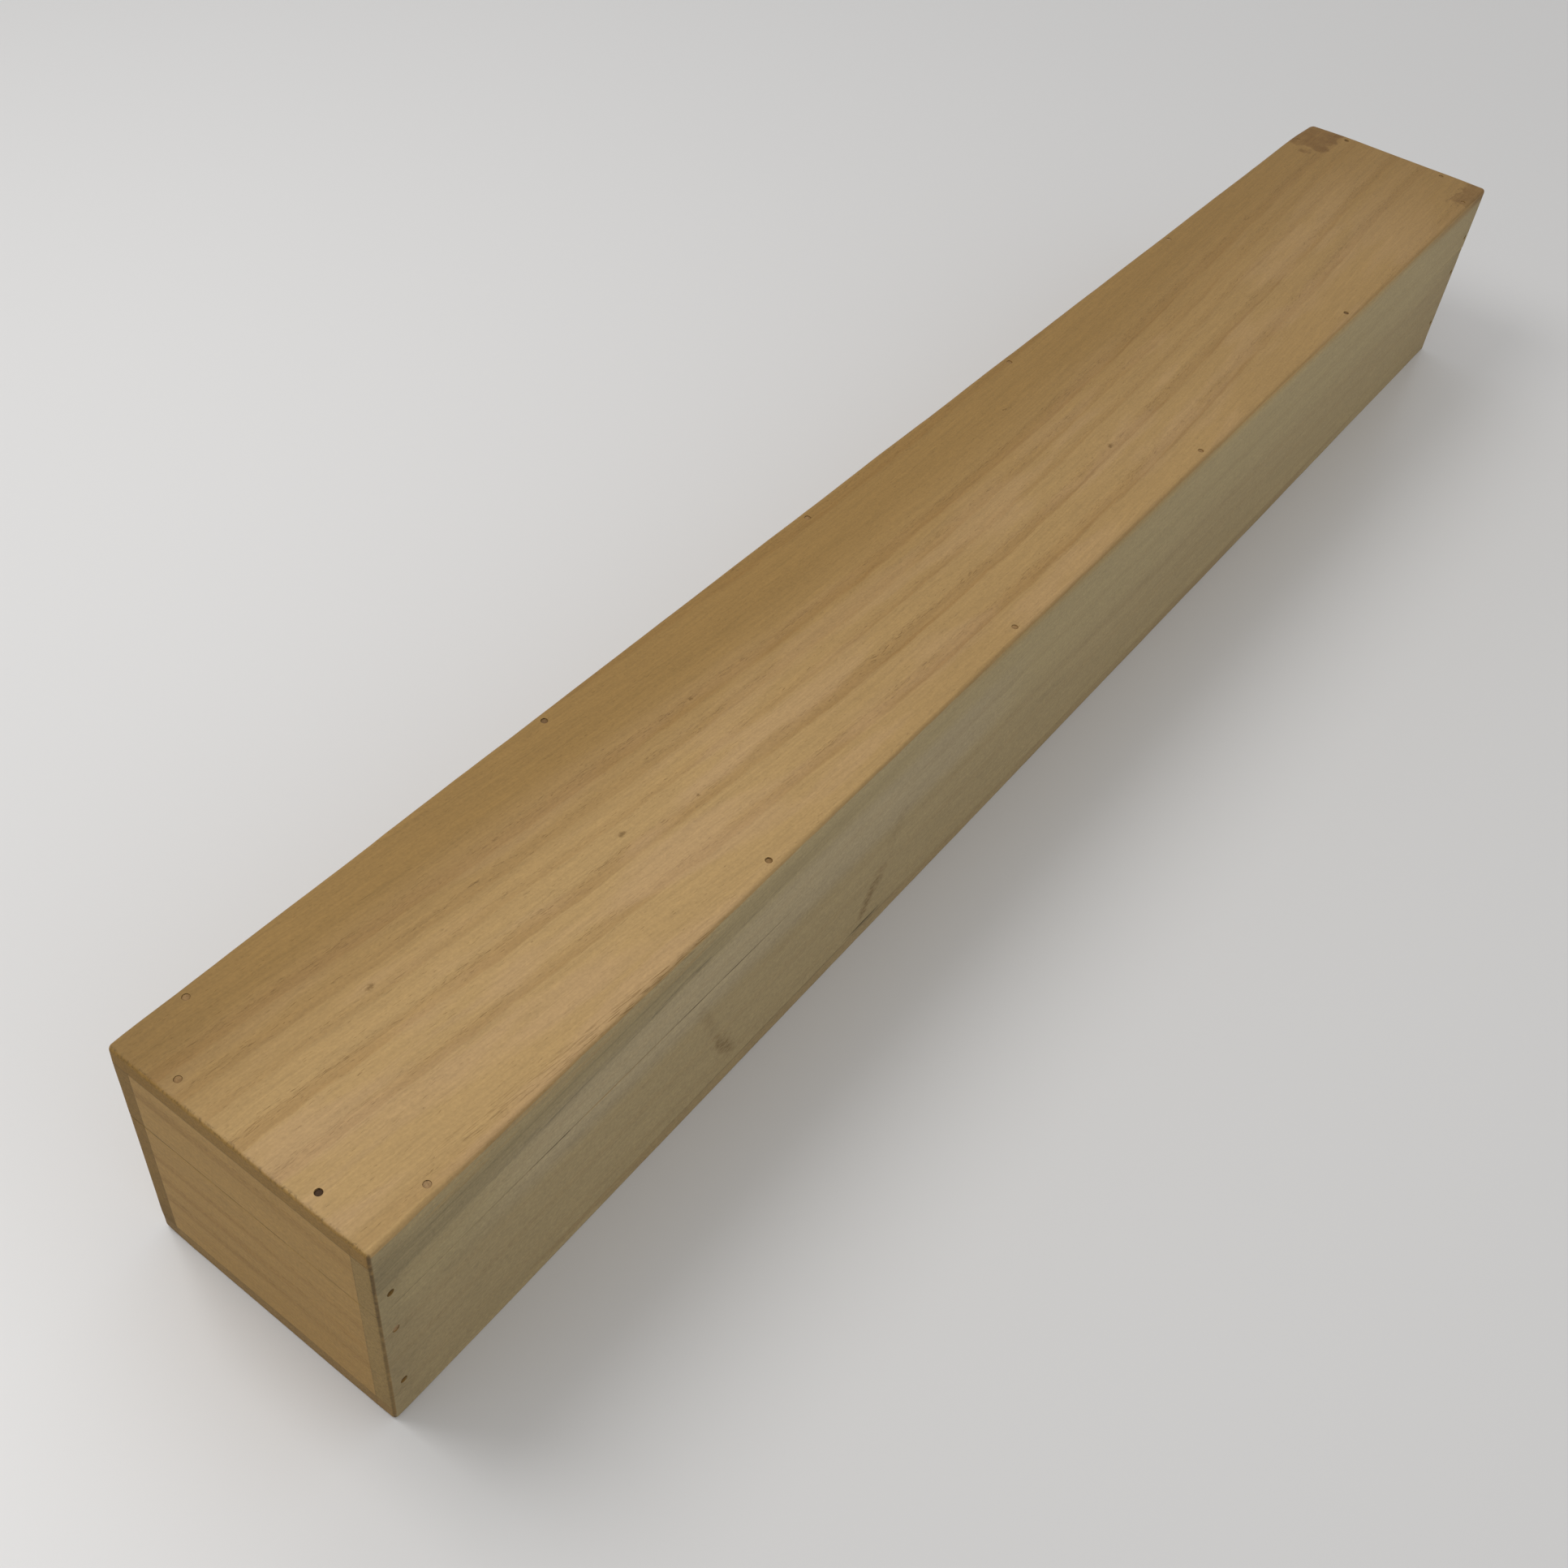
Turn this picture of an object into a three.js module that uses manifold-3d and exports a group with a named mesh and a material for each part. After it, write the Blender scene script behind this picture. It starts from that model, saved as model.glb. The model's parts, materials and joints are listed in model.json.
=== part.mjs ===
// Paulownia box for one hanging scroll, closed.
//
// The case is glued and pegged up as one piece, then sawn round its sides into a lid and a base, so
// the outside is flush. The sides run the whole length, the ends stand between them, and the top and
// bottom boards lie over all four walls. A thin lip inside the base locates the lid. Two notched
// rests carry the ends of the scroll's roller.
//
// Millimetres, +Z up. X runs along the box and the origin is the centre of the underside. Front is
// -Y, rear is +Y, left is -X and right is +X.

import * as THREE from 'three';
import { RoundedBoxGeometry } from 'three/addons/geometries/RoundedBoxGeometry.js';
import { mergeVertices } from 'three/addons/utils/BufferGeometryUtils.js';
import Module from 'manifold-3d';

// Outside of the case
const caseLength = 645;
const caseWidth = 82;
const caseHeight = 78;
const lidHeight = 27; // from the saw cut to the top
const arrisRadius = 1.8; // rounding of the outer edges
const arrisSteps = 2;

// Boards
const topThickness = 5.75;
const bottomThickness = 5.5;
const sideThickness = 6;
const endThickness = 8.5;

// Lip that stands up inside the base
const lipThickness = 3;
const lipRise = 8; // above the saw cut
const lipEase = 0.3; // planed off where the lid slides over it
const lipLead = 0.8; // chamfer that leads the lid on

// Rests with a round notch for the ends of the roller
const restThickness = 9;
const restFromLip = 12;
const rollerHeight = 27; // centre of the roller above the bottom board
const notchRadius = 13;
const notchLead = 3; // straight part of the notch, above its half round
const notchSteps = 14;

// Tapered wooden pegs, their heads planed off just under the surface
const pegRadius = 1;
const pegPointRadius = 0.7;
const pegSides = 12;
const pegRecess = 0.15;
const pegBite = 9; // how far a peg enters the second board
const pegFit = 0.1; // clearance all round
const pegGap = 4; // between the points of two pegs that meet at a corner
const edgePegCount = 6; // along one long edge
const edgePegFromEnd = 20;
const lidSidePegFromCut = 6;
const baseSidePegFromCut = 10.5;
const baseSidePegFromBottom = 9.7;

const overrun = 1; // how far a cut or a blank runs past the surface it makes

const halfLength = caseLength / 2;
const halfWidth = caseWidth / 2;
const innerLength = halfLength - endThickness; // half of the room between the ends
const innerWidth = halfWidth - sideThickness; // half of the room between the sides
const cutHeight = caseHeight - lidHeight;
const underTop = caseHeight - topThickness;
const blankLength = halfLength + overrun;
const blankWidth = halfWidth + overrun;

const caseWood = new THREE.MeshStandardMaterial({
  color: 0xb4905f,
  roughness: 0.72,
  metalness: 0,
  flatShading: true,
});
const lipWood = new THREE.MeshStandardMaterial({
  color: 0xc9ab7e,
  roughness: 0.78,
  metalness: 0,
  flatShading: true,
});
const pegWood = new THREE.MeshStandardMaterial({
  color: 0x80603a,
  roughness: 0.6,
  metalness: 0,
  flatShading: true,
});

const wasm = await Module();
wasm.setup();

function solidOf(geometry) {
  const bare = geometry.clone();
  bare.deleteAttribute('normal');
  bare.deleteAttribute('uv');
  const welded = mergeVertices(bare);
  const mesh = new wasm.Mesh({
    numProp: 3,
    vertProperties: Float32Array.from(welded.attributes.position.array),
    triVerts: Uint32Array.from(welded.index.array),
  });
  return new wasm.Manifold(mesh);
}

function geometryOf(solid) {
  const { vertProperties, triVerts } = solid.getMesh();
  const geometry = new THREE.BufferGeometry();
  geometry.setAttribute('position', new THREE.BufferAttribute(vertProperties, 3));
  geometry.setIndex(new THREE.BufferAttribute(triVerts, 1));
  geometry.computeVertexNormals();
  return geometry;
}

// A box with its faces exactly on the given coordinates, so that neighbours meet face to face.
function block(x0, x1, y0, y1, z0, z1) {
  const geometry = new THREE.BoxGeometry();
  const corners = geometry.attributes.position;
  for (let i = 0; i < corners.count; i += 1) {
    const x = corners.getX(i) < 0 ? x0 : x1;
    const y = corners.getY(i) < 0 ? y0 : y1;
    const z = corners.getZ(i) < 0 ? z0 : z1;
    corners.setXYZ(i, x, y, z);
  }
  return solidOf(geometry);
}

// The outside of the closed case, which every board is planed to.
function caseOutside() {
  const geometry = new RoundedBoxGeometry(
    caseLength,
    caseWidth,
    caseHeight,
    arrisSteps,
    arrisRadius,
  );
  geometry.translate(0, 0, caseHeight / 2);
  return solidOf(geometry);
}

// A peg with its head at the origin, pointing down Y.
function pegGeometry(length) {
  const profile = [
    new THREE.Vector2(0, -length),
    new THREE.Vector2(pegPointRadius, -length),
    new THREE.Vector2(pegRadius, -pegRecess),
    new THREE.Vector2(0, -pegRecess),
  ];
  return new THREE.LatheGeometry(profile, pegSides);
}

// The hole bored for that peg, open past the surface at its head.
function holeGeometry(length) {
  const point = -length - pegFit;
  const profile = [
    new THREE.Vector2(0, point),
    new THREE.Vector2(pegPointRadius + pegFit, point),
    new THREE.Vector2(pegRadius + pegFit, -pegRecess),
    new THREE.Vector2(pegRadius + pegFit, overrun),
    new THREE.Vector2(0, overrun),
  ];
  return new THREE.LatheGeometry(profile, pegSides);
}

const down = new THREE.Vector3(0, 0, -1);
const up = new THREE.Vector3(0, 0, 1);
const pegAxis = new THREE.Vector3(0, -1, 0);
const sides = [
  { name: 'front', sign: -1 },
  { name: 'rear', sign: 1 },
];
const ends = [
  { name: 'left', sign: -1 },
  { name: 'right', sign: 1 },
];

// Pegs driven through a top or bottom board into the edges of the four walls below or above it.
function boardPegs(part, board, height, direction, thickness) {
  const pegs = [];
  const length = thickness + pegBite;
  const firstPeg = halfLength - edgePegFromEnd;
  const pitch = (2 * firstPeg) / (edgePegCount - 1);
  for (const side of sides) {
    for (let i = 0; i < edgePegCount; i += 1) {
      const y = side.sign * (halfWidth - sideThickness / 2);
      pegs.push({
        name: `${board}_peg_${side.name}_${i + 1}`,
        head: new THREE.Vector3(i * pitch - firstPeg, y, height),
        direction,
        length,
        boards: [board, `${part}_${side.name}_side`],
      });
    }
  }
  for (const end of ends) {
    for (const side of sides) {
      const x = end.sign * (halfLength - endThickness / 2);
      const y = side.sign * (halfWidth - sideThickness - pegBite - pegGap);
      pegs.push({
        name: `${board}_peg_${end.name}_${side.name}`,
        head: new THREE.Vector3(x, y, height),
        direction,
        length,
        boards: [board, `${part}_${end.name}_end`],
      });
    }
  }
  return pegs;
}

// Pegs driven through the side boards into the end boards, at one height.
function cornerPegs(part, label, height) {
  const pegs = [];
  for (const end of ends) {
    for (const side of sides) {
      const x = end.sign * (halfLength - endThickness / 2);
      pegs.push({
        name: `${part}_${end.name}_${side.name}_${label}`,
        head: new THREE.Vector3(x, side.sign * halfWidth, height),
        direction: new THREE.Vector3(0, -side.sign, 0),
        length: sideThickness + pegBite,
        boards: [`${part}_${side.name}_side`, `${part}_${end.name}_end`],
      });
    }
  }
  return pegs;
}

const lidPegs = [
  ...boardPegs('lid', 'lid_top_board', caseHeight, down, topThickness),
  ...cornerPegs('lid', 'peg', cutHeight + lidSidePegFromCut),
];
const basePegs = [
  ...boardPegs('base', 'base_bottom_board', 0, up, bottomThickness),
  ...cornerPegs('base', 'upper_peg', cutHeight - baseSidePegFromCut),
  ...cornerPegs('base', 'lower_peg', bottomThickness + baseSidePegFromBottom),
];

function turnOf(direction) {
  return new THREE.Quaternion().setFromUnitVectors(pegAxis, direction);
}

function pegMesh(peg) {
  const mesh = new THREE.Mesh(pegGeometry(peg.length), pegWood);
  mesh.name = peg.name;
  mesh.position.copy(peg.head);
  mesh.quaternion.copy(turnOf(peg.direction));
  return mesh;
}

function pegHole(peg) {
  const geometry = holeGeometry(peg.length);
  geometry.applyQuaternion(turnOf(peg.direction));
  geometry.translate(peg.head.x, peg.head.y, peg.head.z);
  return solidOf(geometry);
}

const outside = caseOutside();

// A board sawn from its blank, planed to the outside of the case and bored for its pegs.
function boardMesh(name, blank, pegs) {
  let board = blank.intersect(outside);
  for (const peg of pegs.filter((each) => each.boards.includes(name))) {
    board = board.subtract(pegHole(peg));
  }
  const mesh = new THREE.Mesh(geometryOf(board), caseWood);
  mesh.name = name;
  return mesh;
}

// The four walls of the lid or of the base, between two heights.
function wallMeshes(part, z0, z1, pegs) {
  const walls = [
    ['front_side', -blankLength, blankLength, -blankWidth, -innerWidth],
    ['rear_side', -blankLength, blankLength, innerWidth, blankWidth],
    ['left_end', -blankLength, -innerLength, -innerWidth, innerWidth],
    ['right_end', innerLength, blankLength, -innerWidth, innerWidth],
  ];
  return walls.map(([label, x0, x1, y0, y1]) =>
    boardMesh(`${part}_${label}`, block(x0, x1, y0, y1, z0, z1), pegs),
  );
}

// The room that the lip may fill: all of it up to the saw cut, and above that eased and chamfered.
function lipRoom() {
  const room = block(-blankLength, blankLength, -blankWidth, blankWidth, 0, cutHeight);
  const x = innerLength - lipEase - lipLead;
  const y = innerWidth - lipEase - lipLead;
  const plan = new THREE.Shape();
  plan.moveTo(-x, -y);
  plan.lineTo(x, -y);
  plan.lineTo(x, y);
  plan.lineTo(-x, y);
  plan.closePath();
  const plug = new THREE.ExtrudeGeometry(plan, {
    depth: cutHeight + lipRise - lipLead,
    bevelThickness: lipLead,
    bevelSize: lipLead,
    bevelSegments: 1,
  });
  return room.add(solidOf(plug));
}

function lipMeshes() {
  const room = lipRoom();
  const top = cutHeight + lipRise + overrun;
  const inX = innerLength - lipThickness;
  const inY = innerWidth - lipThickness;
  const strips = [
    ['front', -innerLength, innerLength, -innerWidth, -inY],
    ['rear', -innerLength, innerLength, inY, innerWidth],
    ['left', -innerLength, -inX, -inY, inY],
    ['right', inX, innerLength, -inY, inY],
  ];
  return strips.map(([label, x0, x1, y0, y1]) => {
    const strip = block(x0, x1, y0, y1, bottomThickness, top).intersect(room);
    const mesh = new THREE.Mesh(geometryOf(strip), lipWood);
    mesh.name = `base_lip_${label}`;
    return mesh;
  });
}

// One rest, standing on the bottom board between the front and rear lip strips.
function restMesh(end) {
  const halfSpan = innerWidth - lipThickness;
  const height = rollerHeight + notchLead;
  const outline = new THREE.Shape();
  outline.moveTo(-halfSpan, 0);
  outline.lineTo(halfSpan, 0);
  outline.lineTo(halfSpan, height);
  outline.lineTo(notchRadius, height);
  outline.absarc(0, rollerHeight, notchRadius, 0, Math.PI, true);
  outline.lineTo(-notchRadius, height);
  outline.lineTo(-halfSpan, height);
  outline.closePath();
  const geometry = new THREE.ExtrudeGeometry(outline, {
    depth: restThickness,
    bevelEnabled: false,
    curveSegments: notchSteps,
  });
  geometry.translate(0, 0, -restThickness / 2);
  const across = new THREE.Vector3(0, 1, 0);
  const along = new THREE.Vector3(1, 0, 0);
  geometry.applyMatrix4(new THREE.Matrix4().makeBasis(across, up, along));
  const mesh = new THREE.Mesh(geometry, lipWood);
  mesh.name = `${end.name}_roller_rest`;
  const x = innerLength - lipThickness - restFromLip - restThickness / 2;
  mesh.position.set(end.sign * x, 0, bottomThickness);
  return mesh;
}

function boardBlank(z0, z1) {
  return block(-blankLength, blankLength, -blankWidth, blankWidth, z0, z1);
}

const base = new THREE.Group();
base.add(
  boardMesh('base_bottom_board', boardBlank(-overrun, bottomThickness), basePegs),
  ...wallMeshes('base', bottomThickness, cutHeight, basePegs),
  ...lipMeshes(),
  ...ends.map(restMesh),
  ...basePegs.map(pegMesh),
);

const lid = new THREE.Group();
lid.add(
  boardMesh('lid_top_board', boardBlank(underTop, caseHeight + overrun), lidPegs),
  ...wallMeshes('lid', cutHeight, underTop, lidPegs),
  ...lidPegs.map(pegMesh),
);

const scrollBox = new THREE.Group();
scrollBox.add(base, lid);

export default scrollBox;
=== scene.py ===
import json
import math
import random

import bmesh
import bpy
from mathutils import Euler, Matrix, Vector, noise

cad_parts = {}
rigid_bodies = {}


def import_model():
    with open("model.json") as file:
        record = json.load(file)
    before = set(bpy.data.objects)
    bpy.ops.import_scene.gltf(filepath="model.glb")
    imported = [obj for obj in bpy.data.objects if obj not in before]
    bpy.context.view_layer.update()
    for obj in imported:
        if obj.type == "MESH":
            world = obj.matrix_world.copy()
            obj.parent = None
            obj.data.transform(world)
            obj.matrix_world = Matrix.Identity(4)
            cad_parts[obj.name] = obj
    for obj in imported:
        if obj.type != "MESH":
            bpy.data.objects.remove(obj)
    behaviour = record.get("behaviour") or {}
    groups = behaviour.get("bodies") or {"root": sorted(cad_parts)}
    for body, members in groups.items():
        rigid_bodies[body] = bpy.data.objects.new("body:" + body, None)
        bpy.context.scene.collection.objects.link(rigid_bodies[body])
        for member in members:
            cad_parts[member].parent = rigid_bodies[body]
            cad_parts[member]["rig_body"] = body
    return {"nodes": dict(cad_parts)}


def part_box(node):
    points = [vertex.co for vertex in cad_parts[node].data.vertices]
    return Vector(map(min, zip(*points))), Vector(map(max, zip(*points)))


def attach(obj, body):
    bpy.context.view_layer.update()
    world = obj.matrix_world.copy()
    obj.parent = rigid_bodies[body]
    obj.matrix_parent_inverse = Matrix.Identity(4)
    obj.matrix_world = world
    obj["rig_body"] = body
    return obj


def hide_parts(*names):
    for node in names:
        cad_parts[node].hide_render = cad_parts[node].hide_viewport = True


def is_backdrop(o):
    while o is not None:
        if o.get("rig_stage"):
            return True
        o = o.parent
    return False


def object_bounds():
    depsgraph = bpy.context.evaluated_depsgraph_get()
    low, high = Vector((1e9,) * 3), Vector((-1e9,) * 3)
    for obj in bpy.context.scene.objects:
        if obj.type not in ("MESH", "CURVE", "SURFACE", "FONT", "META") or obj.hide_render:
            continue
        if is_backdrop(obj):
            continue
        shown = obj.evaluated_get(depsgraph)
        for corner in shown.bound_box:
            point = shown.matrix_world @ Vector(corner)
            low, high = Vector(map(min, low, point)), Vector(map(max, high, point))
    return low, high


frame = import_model()
cad_low, cad_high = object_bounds()

# Camera
# It looks down on the box from off its left front corner, so that the lid, the front side and the
# left end all show. The picture is square.
camera_data = bpy.data.cameras.new("camera")
camera_data.sensor_width = 36
camera_data.lens = 40.01
camera = bpy.data.objects.new("camera", camera_data)
camera.location = (-0.43082, -0.19231, 0.40943)
camera.rotation_euler = Euler([math.radians(turn) for turn in (43.8225, -4.9902, -53.3429)])
bpy.context.scene.collection.objects.link(camera)
bpy.context.scene.camera = camera

# Bottom board
# A plank of paulownia as large as the whole case, glued and pegged up under the four walls. Its
# edges are planed flush with the walls and rounded over with them.
MM = 0.001
cut_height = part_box("base_front_side")[1].z
under_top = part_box("lid_front_side")[1].z
over_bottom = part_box("base_front_side")[0].z
inner_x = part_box("lid_right_end")[0].x
inner_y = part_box("lid_rear_side")[0].y
edge_ease = 0.04 * MM  # taken off every sharp edge
arris = 1.3 * MM  # rounding of the outside edges
fine_steps = [0, 0.04, 0.12, 0.25, 0.45, 0.75, 1.1, 1.5, 2, 2.7, 3.6, 4.8]  # mm in from an edge

# Where the outside edges have been knocked: the place, and how wide and how deep in mm.
knocks = [
    ((cad_high.x, cad_low.y, cut_height - 2.5 * MM), 3.2, 1.4),
    ((cad_low.x, cad_high.y, 0), 7, 1.1),
    ((cad_low.x, cad_low.y, 0), 5, 0.5),
    ((cad_low.x, cad_high.y, cad_high.z), 5, 0.4),
    ((cad_high.x, cad_high.y, cad_high.z), 18, 1.8),
    ((cad_high.x, cad_low.y, cad_high.z), 12, 0.4),
]


def lattice_lines(low, high, spacing):
    """Lines across a board: close together by its edges, and evenly spaced between them."""
    middle = (low + high) / 2
    near = [low + step * MM for step in fine_steps if low + step * MM < middle]
    room = high + low - 2 * near[-1]
    count = max(1, round(room / spacing))
    even = [near[-1] + room * i / count for i in range(1, count)]
    return near + even + [low + high - line for line in reversed(near)]


def clamped(point, low, high):
    return Vector([min(max(p, lo), hi) for p, lo, hi in zip(point, low, high)])


def rounded(point, low, high, radius):
    """Draws a point in to the box between two corners, its edges rounded over."""
    inset = Vector((radius, radius, radius))
    core = clamped(point, low + inset, high - inset)
    out = point - core
    if out.length > radius:
        return core + out * (radius / out.length)
    return point


def wander(point, size, seed):
    """A slow unevenness, between about -1 and 1, whose waves have this size in mm."""
    return noise.noise(point / (size * MM) + Vector((seed, 2.7 * seed, -1.3 * seed)))


open_middle = cad_low.x + 80 * MM  # where the saw cut stands open on the front
open_reach = 84 * MM
far_reach = 45 * MM  # the stretch of worn cut at the far corner


def seam_break(point):
    """How far the outside edges at the saw cut have broken away here, as a share."""
    if point.y > cad_low.y + arris:
        return 0.4 + 0.6 * wander(point, 4, 3)
    near = 1 - abs(point.x - open_middle) / open_reach
    far = 1 - (cad_high.x - point.x) / far_reach
    return 0.08 + 1.3 * max(0, near, far) * (0.8 + 0.7 * wander(point, 6, 3))


foot_share = 0.45  # how much of the rounding is left at the very foot
foot_reach = 9 * MM
plane_marks = 0.03 * MM  # how uneven the plane left the faces
chip_depth = 0.3 * MM  # how far the edges at the saw cut have broken away
lid_chip = 0.2 * MM  # how far above the cut that reaches
base_chip = 0.55 * MM  # how far below it


def planed(point):
    """The outside of the whole case: planed by hand, rounded over, sawn open and worn.

    The rounding is unevenly worn, and it is smallest along the foot.
    """
    crisp_foot = min(1, foot_share + point.z / foot_reach)
    worn = 0.35 * MM * wander(point, 34, 1) + 0.15 * MM * wander(point, 6, 2)
    radius = arris * crisp_foot + worn
    for place, width, depth in knocks:
        away = (point - Vector(place)).length
        radius += depth * MM * max(0, 1 - away / (width * MM))
    inward = plane_marks * (1 + wander(point, 45, 4))
    chipped = lid_chip if point.z > cut_height else base_chip
    from_cut = abs(point.z - cut_height) / chipped
    broken = chip_depth * seam_break(point) * max(0, 1 - from_cut)
    inset = Vector((inward + broken, inward + broken, 0))
    low = cad_low + inset
    high = cad_high - inset
    return rounded(clamped(point, low, high), low, high, radius)


def box_mesh(low, high, spacing, shape):
    """A closed skin over a box, on lattice lines, with each point moved by the shape."""
    mesh = bmesh.new()
    lines = [lattice_lines(*ends) for ends in zip(low, high, spacing)]
    points = {}

    def point_at(at):
        key = tuple(at)
        if key not in points:
            place = Vector([lines[axis][step] for axis, step in enumerate(at)])
            points[key] = mesh.verts.new(shape(place))
        return points[key]

    for axis in range(3):
        first = (axis + 1) % 3
        second = (axis + 2) % 3
        for level in (0, len(lines[axis]) - 1):
            for i in range(len(lines[first]) - 1):
                for j in range(len(lines[second]) - 1):
                    ring = []
                    for di, dj in ((0, 0), (1, 0), (1, 1), (0, 1)):
                        at = [0, 0, 0]
                        at[axis] = level
                        at[first] = i + di
                        at[second] = j + dj
                        ring.append(point_at(at))
                    if level == 0:
                        ring.reverse()
                    mesh.faces.new(ring)
    return mesh


def smooth(data):
    data.shade_smooth()
    data.set_sharp_from_angle(angle=math.radians(40))


def piece(mesh, node, material):
    """Makes the finished piece that stands for a node, and sets it on the node's body."""
    name = node + "_made"
    data = bpy.data.meshes.new(name)
    mesh.to_mesh(data)
    mesh.free()
    smooth(data)
    data.materials.append(material)
    made = bpy.data.objects.new(name, data)
    bpy.context.scene.collection.objects.link(made)
    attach(made, frame["nodes"][node]["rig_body"])
    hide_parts(node)
    return made


peg_nodes = sorted(name for name in frame["nodes"] if "_peg" in name)
hole_radius = 1.03 * MM
hole_tip = 0.78 * MM
hole_past_peg = 0.2 * MM


def peg_line(node):
    """Where a peg's head stands, which way the peg points, and how long it is."""
    low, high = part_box(node)
    size = high - low
    axis = max(range(3), key=lambda i: size[i])
    way = Vector((0, 0, 0))
    way[axis] = -1 if cad_high[axis] - high[axis] < low[axis] - cad_low[axis] else 1
    head = (low + high) / 2 - way * (size[axis] / 2)
    return head, way, size[axis]


def round_bar(mesh, start, way, stations, sides):
    """A closed bar along a line. A station is how far along, its radius and its lean."""
    turn = way.to_track_quat("Z", "Y").to_matrix()
    rings = []
    for along, radius, lean in stations:
        ring = []
        for i in range(sides):
            angle = math.tau * i / sides
            arm = turn @ Vector((math.cos(angle), math.sin(angle), 0))
            deep = along + lean * math.cos(angle + 0.9)
            ring.append(mesh.verts.new(start + arm * radius + way * deep))
        rings.append(ring)
    for one, two in zip(rings, rings[1:]):
        for i in range(sides):
            j = (i + 1) % sides
            mesh.faces.new((one[i], one[j], two[j], two[i]))
    mesh.faces.new(list(reversed(rings[0])))
    mesh.faces.new(rings[-1])


def touches(node, other):
    low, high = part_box(node)
    other_low, other_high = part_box(other)
    return all(low[i] < other_high[i] and other_low[i] < high[i] for i in range(3))


def bored(made, node):
    """Bores a board's peg holes, from outside the face that the pegs were driven into."""
    drill = bmesh.new()
    for peg in peg_nodes:
        if touches(peg, node):
            head, way, length = peg_line(peg)
            tip = length + hole_past_peg
            stations = [(-1 * MM, hole_radius, 0), (0, hole_radius, 0), (tip, hole_tip, 0)]
            round_bar(drill, head, way, stations, 28)
    data = bpy.data.meshes.new("drill")
    drill.to_mesh(data)
    drill.free()
    cutter = bpy.data.objects.new("drill", data)
    bpy.context.scene.collection.objects.link(cutter)
    cut = made.modifiers.new("peg holes", "BOOLEAN")
    cut.operation = "DIFFERENCE"
    cut.solver = "EXACT"
    cut.object = cutter
    bpy.context.view_layer.objects.active = made
    bpy.ops.object.modifier_apply(modifier=cut.name)
    bpy.data.objects.remove(cutter)
    smooth(made.data)


board_spacing = (5 * MM, 6 * MM, 6 * MM)  # from one lattice line to the next


def plank(node, material):
    """One board of the case, as its node has it, eased, planed and bored for its pegs."""
    low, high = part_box(node)

    def shape(point):
        return planed(rounded(point, low, high, edge_ease))

    mesh = box_mesh(low, high, board_spacing, shape)
    bored(piece(mesh, node, material), node)


def tone(code):
    """A colour written as it looks, such as 0xb4905f, in the numbers that a shader takes."""
    parts = [((code >> shift) & 255) / 255 for shift in (16, 8, 0)]
    return [p / 12.92 if p <= 0.04045 else ((p + 0.055) / 1.055) ** 2.4 for p in parts] + [1]


class Reading:
    """A number that is read at every point of a surface, such as a height or a shade."""

    def __init__(self, socket):
        self.socket = socket

    def math(self, operation, *others):
        tree = self.socket.id_data
        node = tree.nodes.new("ShaderNodeMath")
        node.operation = operation
        for slot, value in zip(node.inputs, (self, *others)):
            if isinstance(value, Reading):
                tree.links.new(value.socket, slot)
            else:
                slot.default_value = value
        return Reading(node.outputs[0])

    def __add__(self, other):
        return self.math("ADD", other)

    def __sub__(self, other):
        return self.math("SUBTRACT", other)

    def __rsub__(self, other):
        return (self * -1).math("ADD", other)

    def __mul__(self, other):
        return self.math("MULTIPLY", other)

    def __truediv__(self, other):
        return self.math("DIVIDE", other)

    def __abs__(self):
        return self.math("ABSOLUTE")

    def lesser(self, other):
        return self.math("MINIMUM", other)

    def rise(self, low, high, bottom=0, top=1):
        """Goes smoothly from bottom to top as the reading goes from low to high."""
        tree = self.socket.id_data
        node = tree.nodes.new("ShaderNodeMapRange")
        node.interpolation_type = "SMOOTHSTEP"
        tree.links.new(self.socket, node.inputs["Value"])
        node.inputs["From Min"].default_value = low
        node.inputs["From Max"].default_value = high
        node.inputs["To Min"].default_value = bottom
        node.inputs["To Max"].default_value = top
        return Reading(node.outputs["Result"])

    def near(self, place, reach):
        """One at a place and nothing beyond its reach."""
        return abs(self - place).rise(reach, 0)

    def between(self, low, high, soft):
        """One from low to high, and nothing beyond them, with soft edges."""
        return self.rise(low - soft, low + soft) * self.rise(high + soft, high - soft)


# The two sides of a growth ring.
front_edge = -1
rear_edge = 1

grain_depth = 0.1 * MM  # how deep pores and fibres lie


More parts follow.
